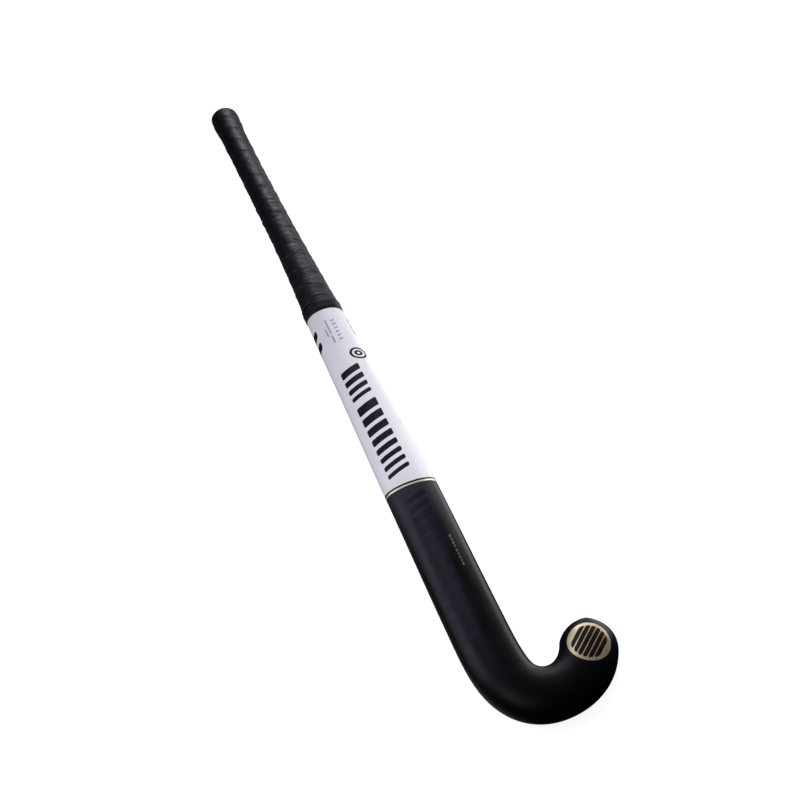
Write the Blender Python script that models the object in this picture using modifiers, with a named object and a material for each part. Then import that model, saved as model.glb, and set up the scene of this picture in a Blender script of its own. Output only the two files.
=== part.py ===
"""Composite field hockey stick, lying on its flat playing face.

Frame, in metres: +Y runs along the handle towards the butt, +X towards the toe
of the hook and +Z up through the rounded back. The origin is the centre of the
base of the bounding box.

Every layer is a loft of one kind of section along one centreline, so the layers
nest inside each other with FIT_GAP between them. A station is a distance along
that centreline from the butt. All the numbers below are millimetres.
"""

import math

import bmesh
import bpy
import numpy as np

MM = 0.001

# The whole stick
LENGTH = 927.0  # heel to butt, 36.5 inches
GRIP_LENGTH = 439.2
RING_STATION = 686.2  # where the white film gives way to the bare laminate
HOOK_LENGTH = 169.0  # centreline of the hook, from the straight shaft to the toe
HOOK_TURNS = (-0.8, 6.8, 32.1, 22.1, 21.9, -6.0)  # curvature per metre, at equal steps
BOW = 12.0  # height of the arch of the face above a table
BOW_PEAK = 293.0  # height above the heel
BOW_START = 62.0

# Layers and clearances
FIT_GAP = 0.3
FILM = 0.35
RECESS = FILM + FIT_GAP  # rebate in the laminate that the film fills
WALL = 2.4
TUBE_WALL = 1.2
TAPE = 1.2
BINDING = 0.5
TAPE_END = 6.0  # station where the tape stops, round the dome of the butt
CUSHION_START = 34.6
CUSHION_END = 330.0
BINDING_WIDTH = 16.0
PINSTRIPE = 2.2

# Section shape
WIDEST_AT = 0.41  # share of the thickness at which the section is widest
CORNER = 9.0  # width of the rounding between face and side
OVAL_CORNER = 0.75  # the same on the oval grip, as a share of the half width
OVAL_START = GRIP_LENGTH - 80.0
OVAL_END = GRIP_LENGTH - 20.0
TOE_THINNING = 0.3  # thickness left at the very end of the toe
BUTT_ROUNDING = 15.0

# Mesh resolution
BACK_SIDES = 14
CORNER_SIDES = 3
CENTRELINE_STEPS = 240
SHAFT_STEP = 30.0
HOOK_STEP = 8.0
FINE_STEP = 4.0

SHAFT = (
    (439.2, 20.6, 25.2),
    (563.0, 23.4, 22.2),
    (687.0, 25.4, 20.6),
    (758.0, 25.4, 21.4),
    (833.0, 25.35, 22.1),
)
HOOK_SHARES = (
    (0.2, 25.25, 22.0),
    (0.4, 24.4, 21.9),
    (0.6, 22.55, 21.7),
    (0.8, 24.0, 21.4),
    (1.0, 24.95, 21.1),
)
HANDLE = (
    (0.0, 13.6, 23.4),
    (62.0, 13.4, 23.2),
    (153.0, 13.0, 23.0),
    (281.0, 13.5, 23.2),
    (404.0, 18.0, 24.6),
)
GRIP = (
    (0.0, 18.2, 30.9),
    (16.0, 18.2, 30.9),
    (32.0, 17.85, 30.4),
    (62.0, 16.25, 29.4),
    (153.0, 15.75, 29.1),
    (281.0, 16.25, 28.6),
    (404.0, 19.4, 28.0),
    (429.0, 20.9, 26.4),
)

COLOURS = {
    "laminate": ((0.012, 0.012, 0.014), 0.28, 0.0),
    "foam": ((0.62, 0.55, 0.36), 0.9, 0.0),
    "tube": ((0.05, 0.05, 0.055), 0.5, 0.0),
    "rubber": ((0.02, 0.02, 0.022), 0.7, 0.0),
    "cushion": ((0.10, 0.10, 0.11), 0.9, 0.0),
    "tape": ((0.025, 0.025, 0.028), 0.6, 0.0),
    "white_film": ((0.80, 0.80, 0.84), 0.25, 0.0),
    "gold": ((0.75, 0.60, 0.25), 0.3, 1.0),
    "black_print": ((0.015, 0.015, 0.017), 0.35, 0.0),
    "grey_print": ((0.45, 0.45, 0.50), 0.4, 0.0),
    "navy_print": ((0.02, 0.022, 0.06), 0.3, 0.0),
}


def smooth(knots, at):
    """Values of a curve through (station, value) knots that doesn't overshoot them."""
    stations, values = np.array(knots, dtype=float).T
    steps = np.diff(stations)
    slopes = np.diff(values) / steps
    before, after = slopes[:-1], slopes[1:]
    total = np.where(before * after > 0, before + after, 1.0)
    inner = np.where(before * after > 0, 2 * before * after / total, 0.0)
    tangents = np.concatenate([slopes[:1], inner, slopes[-1:]])
    i = np.clip(np.searchsorted(stations, at) - 1, 0, len(steps) - 1)
    u = np.clip((at - stations[i]) / steps[i], 0.0, 1.0)
    ends = values[i] * (1 + 2 * u) * (1 - u) ** 2 + values[i + 1] * (3 - 2 * u) * u**2
    return ends + steps[i] * (tangents[i] * u * (1 - u) ** 2 - tangents[i + 1] * u**2 * (1 - u))


def hook_curve():
    """Distances, X, Y and headings along the hook, from the end of the straight shaft."""
    distance = np.linspace(0.0, HOOK_LENGTH, CENTRELINE_STEPS)
    knots = list(zip(np.linspace(0.0, HOOK_LENGTH, len(HOOK_TURNS)), HOOK_TURNS))
    turn = smooth(knots, distance) * MM
    step = distance[1]

    def running_sum(rate):
        return np.concatenate([[0.0], np.cumsum((rate[1:] + rate[:-1]) / 2) * step])

    heading = running_sum(turn) - math.pi / 2
    return distance, running_sum(np.cos(heading)), running_sum(np.sin(heading)), heading


DISTANCE, HOOK_X, HOOK_Y, HEADING = hook_curve()
HOOK_WIDTHS = [(share * HOOK_LENGTH, half_width) for share, half_width, _ in HOOK_SHARES]
HEEL_EDGE = HOOK_Y - np.cos(HEADING) * smooth([(0.0, SHAFT[-1][1])] + HOOK_WIDTHS, DISTANCE)
SHAFT_LENGTH = LENGTH + float(HEEL_EDGE.min())
PATH_LENGTH = SHAFT_LENGTH + HOOK_LENGTH
TOE_RADIUS = HOOK_SHARES[-1][1]
TOE_START = PATH_LENGTH - TOE_RADIUS
HOOK_START = SHAFT_LENGTH - 20.0
GRID = list(np.arange(0.0, HOOK_START, SHAFT_STEP))
GRID += list(np.arange(HOOK_START, TOE_START, HOOK_STEP))
BARE = SHAFT + tuple((SHAFT_LENGTH + share * HOOK_LENGTH, w, h) for share, w, h in HOOK_SHARES)


def profile(rows, station):
    """Half width and thickness at a station, from rows of (station, half width, thickness)."""
    half_width = smooth([(row[0], row[1]) for row in rows], station)
    thickness = smooth([(row[0], row[2]) for row in rows], station)
    return float(half_width), float(thickness)


def place(station):
    """Centre X, Y and heading of the centreline at a station."""
    if station <= SHAFT_LENGTH:
        return 0.0, LENGTH - station, -math.pi / 2
    along = station - SHAFT_LENGTH
    x = float(np.interp(along, DISTANCE, HOOK_X))
    y = float(np.interp(along, DISTANCE, HOOK_Y)) + LENGTH - SHAFT_LENGTH
    return x, y, float(np.interp(along, DISTANCE, HEADING))


def bow(y):
    """Height of the arched face above the table: none at the head and at the butt."""
    if y <= BOW_START:
        return 0.0
    span = (y - BOW_START) / (BOW_PEAK - BOW_START)
    if y >= BOW_PEAK:
        span = (LENGTH - y) / (LENGTH - BOW_PEAK)
    return BOW * (1 - math.cos(math.pi * span)) / 2


def middle_height(station):
    """Height above the table of the middle of every layer at a station."""
    return bow(place(station)[1]) + profile(GRIP + BARE, station)[1] / 2


def butt_share(station):
    """Share of the full width and thickness left by the rounding of the butt."""
    beyond = max(0.0, (BUTT_ROUNDING - station) / BUTT_ROUNDING)
    return 0.12 + 0.88 * math.sqrt(max(0.0, 1 - beyond**2.2))


def envelope(station, inset=0.0):
    """Half width and thickness of the outside of the stick, over the grip tape."""
    half_width, thickness = profile(GRIP + BARE, station)
    share = butt_share(station)
    return half_width * share - inset, thickness * share - 2 * inset


def laminate(station, inset=0.0):
    """Half width and thickness of the moulded body, with the toe rounded off."""
    half_width, thickness = profile(HANDLE + BARE, station)
    beyond = max(0.0, (station - TOE_START) / (TOE_RADIUS - inset))
    share = math.sqrt(max(0.0, 1 - beyond**2))
    thinned = TOE_THINNING + (1 - TOE_THINNING) * share
    return (half_width - inset) * share, (thickness - 2 * inset) * thinned


def recessed(station):
    """The moulded body where the film and the grip cover it."""
    return laminate(station, RECESS)


def cavity(station):
    return laminate(station, RECESS + WALL)


def over_laminate(station):
    half_width, thickness = recessed(station)
    return half_width + FIT_GAP, thickness + 2 * FIT_GAP


def under_tape(station):
    """Inside of the grip tape, never closer than FIT_GAP to the laminate."""
    floor, tape = over_laminate(station), envelope(station, TAPE)
    return max(floor[0], tape[0]), max(floor[1], tape[1])


def shrunk(layer, inset):
    """A layer's half width and thickness function, drawn in by an inset."""

    def smaller(station):
        half_width, thickness = layer(station)
        return half_width - inset, thickness - 2 * inset

    return smaller


def back_and_corner(half_width, thickness, station):
    """Toe-side half of a section as (across, up) points, from its top round to its face."""
    oval = min(1.0, max(0.0, (OVAL_END - station) / (OVAL_END - OVAL_START)))
    widest = thickness * (WIDEST_AT + (0.5 - WIDEST_AT) * oval)
    corner = min(CORNER + (OVAL_CORNER * half_width - CORNER) * oval, 0.8 * half_width)
    points = []
    for angle in np.linspace(math.pi / 2, 0.0, BACK_SIDES // 2 + 1):
        up = widest + (thickness - widest) * math.sin(angle)
        points.append((half_width * math.cos(angle), up))
    for angle in np.linspace(0.0, math.pi / 2, CORNER_SIDES + 1)[1:]:
        points.append((half_width - corner * (1 - math.cos(angle)), widest * (1 - math.sin(angle))))
    return points


def full_section(half_width, thickness, station):
    half = back_and_corner(half_width, thickness, station)
    return half + [(-across, up) for across, up in reversed(half[1:])]


def ring(station, layer, outline=full_section):
    """World points of one layer's section at a station."""
    half_width, thickness = layer(station)
    x, y, heading = place(station)
    base = middle_height(station) - thickness / 2
    across_x, across_y = -math.sin(heading), math.cos(heading)
    return [
        (x + across_x * across, y + across_y * across, base + up)
        for across, up in outline(half_width, thickness, station)
    ]


def evenly(start, end, step):
    return list(np.linspace(start, end, round(abs(end - start) / step) + 1))


def stations(start, end):
    """Both ends and the GRID stations between them, so that nested layers bend at the same places."""
    low, high = min(start, end) + 2.0, max(start, end) - 2.0
    between = [station for station in GRID if low < station < high]
    return [start] + (between if start < end else between[::-1]) + [end]


def toe_stations(inset, steps=6):
    """Stations through the rounded toe, closer together towards its end."""
    reach = TOE_RADIUS - inset
    return [TOE_START + reach * math.sin(angle) for angle in np.linspace(0.0, 1.4, steps)]


def add_object(name, mesh, material):
    obj = bpy.data.objects.new(name, mesh)
    mesh.materials.append(material)
    PARTS.objects.link(obj)
    obj.parent = BENCH
    return obj


def loft(name, rings, material, wrap=False):
    """A body skinned over its rings, with a flat end at each end, or wrapped into a sleeve."""
    bm = bmesh.new()
    loops = [[bm.verts.new([value * MM for value in point]) for point in points] for points in rings]
    pairs = list(zip(loops, loops[1:]))
    if wrap:
        pairs.append((loops[-1], loops[0]))
    else:
        bm.faces.new(loops[0])
        bm.faces.new(loops[-1])
    for near, far in pairs:
        for i, vertex in enumerate(near):
            bm.faces.new((near[i - 1], vertex, far[i], far[i - 1]))
    bmesh.ops.recalc_face_normals(bm, faces=bm.faces)
    mesh = bpy.data.meshes.new(name)
    bm.to_mesh(mesh)
    bm.free()
    mesh.shade_smooth()
    mesh.set_sharp_from_angle(angle=math.radians(40))
    return add_object(name, mesh, material)


def sleeve(name, places, outer, inner, material, outline=full_section):
    """A tube between two layers, open at both ends."""
    rings = [ring(station, outer, outline) for station in places]
    rings += [ring(station, inner, outline) for station in reversed(places)]
    return loft(name, rings, material, wrap=True)


def on_back(station, angle, lift):
    """Point that stands above the back, at an angle from the toe side (0) over the top (90 degrees)."""
    half_width, thickness = envelope(station) if station < GRIP_LENGTH else laminate(station)
    half_width, thickness = half_width + lift, thickness + 2 * lift
    widest = thickness * WIDEST_AT
    x, y, heading = place(station)
    across = half_width * math.cos(angle)
    up = middle_height(station) - thickness / 2 + widest + (thickness - widest) * math.sin(angle)
    return x - math.sin(heading) * across, y + math.cos(heading) * across, up


def transfer(name, station, degrees, length, width, material, rows, columns, is_round=False):
    """Printed film that lies over the back: a disc or a strip bent over the surface."""
    middle = math.radians(degrees)
    near, far = on_back(station, middle - 0.01, 0.0), on_back(station, middle + 0.01, 0.0)
    per_radian = math.dist(near, far) / 0.02
    bm = bmesh.new()
    grid = []
    for row in np.linspace(-1.0, 1.0, rows):
        line = []
        for column in np.linspace(-1.0, 1.0, columns):
            along, across = row, column
            if is_round:
                along = row * math.sqrt(1 - column**2 / 2)
                across = column * math.sqrt(1 - row**2 / 2)
            angle = middle + across * width / 2 / per_radian
            point = on_back(station + along * length / 2, angle, FIT_GAP)
            line.append(bm.verts.new([value * MM for value in point]))
        grid.append(line)
    for near, far in zip(grid, grid[1:]):
        for i in range(1, columns):
            bm.faces.new((near[i - 1], near[i], far[i], far[i - 1]))
    mesh = bpy.data.meshes.new(name)
    bm.to_mesh(mesh)
    bm.free()
    mesh.shade_smooth()
    obj = add_object(name, mesh, material)
    film = obj.modifiers.new("film", "SOLIDIFY")
    film.thickness = FILM * MM
    film.offset = 1.0
    return obj


def make_material(name, colour, roughness, metallic):
    material = bpy.data.materials.new(name)
    material.use_nodes = True
    shader = material.node_tree.nodes["Principled BSDF"]
    shader.inputs["Base Color"].default_value = (*colour, 1.0)
    shader.inputs["Roughness"].default_value = roughness
    shader.inputs["Metallic"].default_value = metallic
    return material


def build_laminate(material):
    """Moulded body: closed at the toe, open at the butt, with a rebate for film and grip."""
    mouth = BUTT_ROUNDING
    inside = toe_stations(RECESS + WALL)[::-1] + stations(TOE_START, mouth)[1:]
    rings = [ring(station, cavity) for station in inside]
    rings += [ring(station, recessed) for station in stations(mouth, RING_STATION)]
    rings += [ring(station, laminate) for station in stations(RING_STATION + 0.3, TOE_START)]
    rings += [ring(station, laminate) for station in toe_stations(0.0, 7)[1:]]
    return loft("laminate_shell", rings, material)


def build_core(foam, tube):
    """Foam in the hook, twin tubes up the shaft and a foam plug in the handle's mouth."""
    fit = shrunk(cavity, FIT_GAP)
    plug_end = 72.0
    hook = stations(HOOK_START, TOE_START) + toe_stations(RECESS + WALL)[1:-1]
    loft("head_core", [ring(station, fit) for station in hook], foam)
    loft("butt_plug", [ring(station, fit) for station in stations(BUTT_ROUNDING, plug_end)], foam)

    def half_outline(side, wall):
        web = FIT_GAP / 2 + wall

        def outline(half_width, thickness, station):
            points = back_and_corner(half_width, thickness, station)
            points = [(web + across * (1 - web / half_width), up) for across, up in points]
            points.append((web, points[-1][1]))
            return [(side * across, up) for across, up in points]

        return outline

    places = stations(plug_end + FIT_GAP, HOOK_START - FIT_GAP)
    bore = shrunk(fit, TUBE_WALL)
    for name, side in (("core_tube_toe_side", 1), ("core_tube_heel_side", -1)):
        rings = [ring(station, fit, half_outline(side, 0.0)) for station in places]
        half = half_outline(side, TUBE_WALL)
        rings += [ring(station, bore, half) for station in reversed(places)]
        loft(name, rings, tube, wrap=True)


def build_butt_cap(material):
    """Rubber cup over the end of the laminate, whose dome closes the butt."""
    mouth, pocket_end, dome = 34.0, BUTT_ROUNDING - FIT_GAP, TAPE_END - FIT_GAP
    skirt = shrunk(envelope, TAPE + FIT_GAP)
    rings = [ring(station, over_laminate) for station in (pocket_end, mouth)]
    rings += [ring(station, skirt) for station in evenly(mouth, dome, FINE_STEP)]
    rings += [ring(station, envelope) for station in (dome - 0.2, 4.2, 2.6, 1.2, 0.3, 0.0)]
    return loft("butt_cap", rings, material)


def build_grip(tape, cushion):
    """Cushion, spiral tape as one sleeve, and the binding round its lower edge."""
    filling = shrunk(under_tape, FIT_GAP)
    sleeve("grip_cushion", stations(CUSHION_START, CUSHION_END), filling, over_laminate, cushion)
    places = evenly(TAPE_END, CUSHION_START, FINE_STEP) + stations(CUSHION_START, CUSHION_END)[1:]
    places += evenly(CUSHION_END, GRIP_LENGTH - 2.0, 3 * FINE_STEP)[1:]
    sleeve("grip_tape", places, envelope, under_tape, tape)
    places = evenly(GRIP_LENGTH - BINDING_WIDTH, GRIP_LENGTH - FIT_GAP, FINE_STEP)
    inner, outer = shrunk(envelope, -FIT_GAP), shrunk(envelope, -FIT_GAP - BINDING)
    sleeve("grip_end_tape", places, outer, inner, tape)


def build_film(white, gold):
    """White film down the upper shaft, and the foil ring that ends it."""
    film_end = RING_STATION - FIT_GAP - PINSTRIPE
    inner = shrunk(laminate, FILM)
    sleeve("shaft_film", stations(GRIP_LENGTH + FIT_GAP, film_end), laminate, inner, white)
    stripe = [film_end + FIT_GAP, RING_STATION - FIT_GAP]
    sleeve("gold_pinstripe", stripe, laminate, inner, gold)


def build_transfers(materials):
    black, gold = materials["black_print"], materials["gold"]
    transfer("bar_transfer", 599.5, 98.0, 154.0, 32.0, black, 9, 6)
    transfer("small_roundel", 512.0, 55.0, 16.0, 16.0, black, 5, 5, is_round=True)
    transfer("label_transfer", 473.0, 100.0, 39.0, 14.0, materials["grey_print"], 3, 4)
    transfer("side_mark", 476.5, 160.0, 30.0, 12.0, black, 3, 4)
    transfer("lower_transfer", 773.0, 105.0, 128.0, 24.0, materials["navy_print"], 8, 6)
    transfer("dash_transfer", 762.0, 64.0, 34.0, 4.0, gold, 3, 2)
    transfer("toe_roundel", PATH_LENGTH - 26.0, 93.0, 36.0, 36.0, gold, 9, 9, is_round=True)


for old in list(bpy.data.objects):
    bpy.data.objects.remove(old, do_unlink=True)

PARTS = bpy.data.collections.new("field_hockey_stick")
bpy.context.scene.collection.children.link(PARTS)
BENCH = bpy.data.objects.new("bench_origin", None)
PARTS.objects.link(BENCH)

MATERIALS = {name: make_material(name, *values) for name, values in COLOURS.items()}
shell = build_laminate(MATERIALS["laminate"])
build_core(MATERIALS["foam"], MATERIALS["tube"])
build_butt_cap(MATERIALS["rubber"])
build_grip(MATERIALS["tape"], MATERIALS["cushion"])
build_film(MATERIALS["white_film"], MATERIALS["gold"])
build_transfers(MATERIALS)

# The layers are laid out from the heel; the empty moves them to the centre of the base
sides = [vertex.co.x for vertex in shell.data.vertices]
BENCH.location = (-(min(sides) + max(sides)) / 2, -LENGTH / 2 * MM, 0.0)
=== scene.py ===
"""Looks of the composite field hockey stick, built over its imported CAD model.

The stick lies on its flat playing face: +Y runs towards the butt, +X towards the
toe of the hook and +Z up through the rounded back. Shapes are worked out in
millimetres from the heel, like the CAD part, and moved into the frame by to_frame().
"""

import math

import bmesh
import bpy
import numpy as np
from mathutils import Matrix, Vector, noise
from mathutils.bvhtree import BVHTree


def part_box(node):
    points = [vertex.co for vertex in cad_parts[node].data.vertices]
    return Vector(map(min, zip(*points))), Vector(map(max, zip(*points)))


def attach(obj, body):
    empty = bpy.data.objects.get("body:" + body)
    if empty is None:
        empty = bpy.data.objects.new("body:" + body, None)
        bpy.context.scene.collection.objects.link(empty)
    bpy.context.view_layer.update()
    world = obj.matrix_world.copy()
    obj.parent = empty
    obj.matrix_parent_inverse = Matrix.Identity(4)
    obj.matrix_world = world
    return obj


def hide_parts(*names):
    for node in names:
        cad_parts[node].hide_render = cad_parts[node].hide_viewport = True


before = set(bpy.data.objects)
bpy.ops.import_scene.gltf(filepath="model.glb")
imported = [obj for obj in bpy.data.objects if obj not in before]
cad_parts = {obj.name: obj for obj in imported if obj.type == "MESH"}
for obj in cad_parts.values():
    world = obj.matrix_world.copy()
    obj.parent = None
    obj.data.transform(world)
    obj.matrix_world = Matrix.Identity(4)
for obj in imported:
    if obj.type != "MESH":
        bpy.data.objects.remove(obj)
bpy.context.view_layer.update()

MM = 0.001

# The stick's driving dimensions in mm, as in the CAD part; stations run from the butt to the toe.
# HOOK_TURNS is the curvature of the hook's centreline at even steps, in radians per metre.
LENGTH = 927.0
GRIP_LENGTH = 439.2
RING_STATION = 686.2
HOOK_LENGTH = 169.0
HOOK_TURNS = (-0.8, 6.8, 32.1, 22.1, 21.9, -6.0)
BOW = 12.0
BOW_PEAK = 293.0
BOW_START = 62.0
RECESS = 0.65
FILM = 0.35
WALL = 2.4
CORNER = 9.0
OVAL_START = GRIP_LENGTH - 80.0
OVAL_END = GRIP_LENGTH - 20.0
BUTT_ROUNDING = 15.0
TAPE_END = 6.0
CENTRELINE_STEPS = 240

# Shares: WIDEST_AT and TOE_THINNING of the thickness, OVAL_CORNER and CORNER_LIMIT of the half
# width, BUTT_END_SHARE of the full section. BUTT_POWER shapes the rounding up to that end.
WIDEST_AT = 0.41
TOE_THINNING = 0.3
OVAL_CORNER = 0.75
CORNER_LIMIT = 0.8
BUTT_END_SHARE = 0.12
BUTT_POWER = 2.2

# Rows of station, half width and thickness; in the hook the stations are shares of its length
SHAFT = (
    (439.2, 20.6, 25.2),
    (563.0, 23.4, 22.2),
    (687.0, 25.4, 20.6),
    (758.0, 25.4, 21.4),
    (833.0, 25.35, 22.1),
)
HOOK_SHARES = (
    (0.2, 25.25, 22.0),
    (0.4, 24.4, 21.9),
    (0.6, 22.55, 21.7),
    (0.8, 24.0, 21.4),
    (1.0, 24.95, 21.1),
)
HANDLE = (
    (0.0, 13.6, 23.4),
    (62.0, 13.4, 23.2),
    (153.0, 13.0, 23.0),
    (281.0, 13.5, 23.2),
    (404.0, 18.0, 24.6),
)
GRIP = (
    (0.0, 18.2, 30.9),
    (16.0, 18.2, 30.9),
    (32.0, 17.85, 30.4),
    (62.0, 16.25, 29.4),
    (153.0, 15.75, 29.1),
    (281.0, 16.25, 28.6),
    (404.0, 19.4, 28.0),
    (429.0, 20.9, 26.4),
)

# How finely surfaces are cut: sides of a round section, tape sections per turn, the turn in radians
# over which a normal is measured, degrees that prints wrap over, and metres below which points merge
ROUND_SIDES = 144
TURN_STEPS = 90
NORMAL_STEP = 0.02
WRAP_DEGREES = np.arange(0.0, 200.0, 0.25)
MERGE_DISTANCE = 1e-7

# The wound tape in mm: each turn's edge dips where it is rolled, stands up where it laps over the
# last turn, and its far edge sinks under the next; its underside lies below the grip's envelope
TAPE_PITCH = 28.3
TAPE_OVERLAP = 3.4
TAPE_PHASE = 9.8
TAPE_LAST = GRIP_LENGTH - 2.0
DIP_DEPTH = 0.48
DIP_LENGTH = 0.4
LAP_HEIGHT = 0.5
LAP_START = 1.2
LAP_LENGTH = 6.0
TAIL_DEPTH = 0.75
TAIL_LENGTH = 4.5
BURIED_EDGE = 0.9
UNDERSIDE_AT_LAP = 1.15
UNDERSIDE = 1.5

# The finishing tape in mm: its height, how far it rolls in at both edges and how ragged it ends;
# ROLL_START is a share of its width
BINDING_WIDTH = 15.7
BINDING_HEIGHT = 0.75
ROLL_DEPTH = 0.7
ROLL_START = 0.72
UPPER_ROLL_DEPTH = 0.5
RAGGED_DEPTH = 0.5
EDGE_GAP = 0.3

# The butt cap with its moulded ring, the film's lower end, the zones of colour and the stretch of painted
# sheen below the ring, in mm
CAP_LENGTH = 34.0
DOME_LENGTH = TAPE_END - 0.5
GROOVE_STATION = 1.6
GROOVE_WIDTH = 0.35
GROOVE_DEPTH = 0.5
RING_GAP = 0.15
GOLD_WIDTH = 1.75
DARK_WIDTH = 1.9
REBATE_END = RING_STATION - 0.02
BARE_START = RING_STATION + 0.25
CREAM_LENGTH = 15.0
# Length of the lighter, bluer stretch of the black shaft next to the gold ring: painted sheen for the
# highlight there
PAINTED_SHEEN_LENGTH = 92.0

# Prints: lift above and sink below the surface in mm, and where a pressed print starts, in metres
PRINT_LIFT = 0.06
PRINT_SINK = 0.08
PRESS_FROM = 0.03

# Station and angle from the toe side, in degrees, of the middle of each print
UPPER_BARS_AT = (599.5, 102.0)
DOUBLE_RING_AT = (512.5, 57.5)
LABEL_AT = (473.0, 97.0)
EDGE_BLOCKS_AT = (476.5, 163.0)
LOWER_BARS_AT = (770.0, 106.0)
SIDE_DASHES_AT = (468.0, 23.5)
GOLD_DASHES_AT = (762.0, 64.0)

# Widths of the bars in each row, in mm; a zero leaves a wide gap
UPPER_BARS = (8.5, 7.0, 6.0, 5.0, 0.0, 10.5, 9.5, 8.5, 7.5, 6.5, 5.5, 5.0, 4.5)
LOWER_BARS = (5.0, 6.0, 7.0, 8.0, 9.5, 11.0, 0.0, 11.0, 9.5, 8.0, 7.0, 6.0, 5.0)
GOLD_DASHES = (3.0, 2.0, 3.0, 2.0, 0.0, 3.0, 2.0, 3.0, 2.0, 3.0)

# The disc on the toe: its place, the way it faces, its stretch along and across, and its stripes
DISC_BEFORE_TOE = 24.5
DISC_DEGREES = 87.6
DISC_FACING = (0.045, 0.05, 1.0)
DISC_RADIUS = 17.9
DISC_OVAL = (0.955, 1.0)
STRIPE_OFFSETS = (-11.0, -6.6, -2.2, 2.2, 6.6, 11.0)
STRIPE_WIDTH = 3.5
STRIPE_REACH = 15.2
STRIPE_TURN = -38.0


# ---------------------------------------------------------------- the stick's form


def smooth(knots, at):
    """Values of a curve through (station, value) knots that doesn't overshoot them."""
    stations, values = np.array(knots, dtype=float).T
    steps = np.diff(stations)
    slopes = np.diff(values) / steps
    before, after = slopes[:-1], slopes[1:]
    total = np.where(before * after > 0, before + after, 1.0)
    inner = np.where(before * after > 0, 2 * before * after / total, 0.0)
    tangents = np.concatenate([slopes[:1], inner, slopes[-1:]])
    i = np.clip(np.searchsorted(stations, at) - 1, 0, len(steps) - 1)
    u = np.clip((at - stations[i]) / steps[i], 0.0, 1.0)
    ends = values[i] * (1 + 2 * u) * (1 - u) ** 2 + values[i + 1] * (3 - 2 * u) * u**2
    return ends + steps[i] * (tangents[i] * u * (1 - u) ** 2 - tangents[i + 1] * u**2 * (1 - u))


def hook_curve():
    """Distances, X, Y and headings along the hook, from the end of the straight shaft."""
    distance = np.linspace(0.0, HOOK_LENGTH, CENTRELINE_STEPS)
    knots = list(zip(np.linspace(0.0, HOOK_LENGTH, len(HOOK_TURNS)), HOOK_TURNS))
    turn = smooth(knots, distance) * MM
    step = distance[1]

    def running_sum(rate):
        return np.concatenate([[0.0], np.cumsum((rate[1:] + rate[:-1]) / 2) * step])

    heading = running_sum(turn) - math.pi / 2
    return distance, running_sum(np.cos(heading)), running_sum(np.sin(heading)), heading


DISTANCE, HOOK_X, HOOK_Y, HEADING = hook_curve()
HOOK_WIDTHS = [(share * HOOK_LENGTH, half_width) for share, half_width, _ in HOOK_SHARES]
HEEL_EDGE = HOOK_Y - np.cos(HEADING) * smooth([(0.0, SHAFT[-1][1])] + HOOK_WIDTHS, DISTANCE)
SHAFT_LENGTH = LENGTH + float(HEEL_EDGE.min())
PATH_LENGTH = SHAFT_LENGTH + HOOK_LENGTH
TOE_RADIUS = HOOK_SHARES[-1][1]
TOE_START = PATH_LENGTH - TOE_RADIUS
BARE = SHAFT + tuple((SHAFT_LENGTH + share * HOOK_LENGTH, w, h) for share, w, h in HOOK_SHARES)


def profile(rows, station):
    """Half width and thickness at stations, from rows of (station, half width, thickness)."""
    half_width = smooth([(row[0], row[1]) for row in rows], station)
    thickness = smooth([(row[0], row[2]) for row in rows], station)
    return half_width, thickness


def place(station):
    """Centre X, Y and heading of the centreline at stations."""
    along = np.clip(station - SHAFT_LENGTH, 0.0, HOOK_LENGTH)
    x = np.interp(along, DISTANCE, HOOK_X)
    y = np.interp(along, DISTANCE, HOOK_Y) + LENGTH - np.minimum(station, SHAFT_LENGTH)
    return x, y, np.interp(along, DISTANCE, HEADING)


def bow(y):
    """Height of the arched face above the table: none at the head and at the butt."""
    lower = np.clip((y - BOW_START) / (BOW_PEAK - BOW_START), 0.0, 1.0)
    upper = np.clip((LENGTH - y) / (LENGTH - BOW_PEAK), 0.0, 1.0)
    return BOW * (1 - np.cos(math.pi * np.where(y < BOW_PEAK, lower, upper))) / 2


def middle_height(station):
    """Height of the section's middle above the table."""
    return bow(place(station)[1]) + profile(GRIP + BARE, station)[1] / 2


def envelope(station):
    """Half width and thickness of the outside of the stick, over the grip tape."""
    half_width, thickness = profile(GRIP + BARE, station)
    beyond = np.clip((BUTT_ROUNDING - station) / BUTT_ROUNDING, 0.0, 1.0)
    share = BUTT_END_SHARE + (1 - BUTT_END_SHARE) * np.sqrt(1 - beyond**BUTT_POWER)
    return half_width * share, thickness * share


def laminate(station, inset=0.0):
    """Half width and thickness of the moulded body, with the toe rounded off."""
    half_width, thickness = profile(HANDLE + BARE, station)
    beyond = np.clip((station - TOE_START) / (TOE_RADIUS - inset), 0.0, 1.0)
    share = np.sqrt(1 - beyond**2)
    thinned = TOE_THINNING + (1 - TOE_THINNING) * share
    return (half_width - inset) * share, (thickness - 2 * inset) * thinned


def recessed(station):
    """The moulded body where the film and the grip cover it."""
    return laminate(station, RECESS)


def cavity(station):
    """The inside of the moulded body's wall."""
    return laminate(station, RECESS + WALL)


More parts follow.
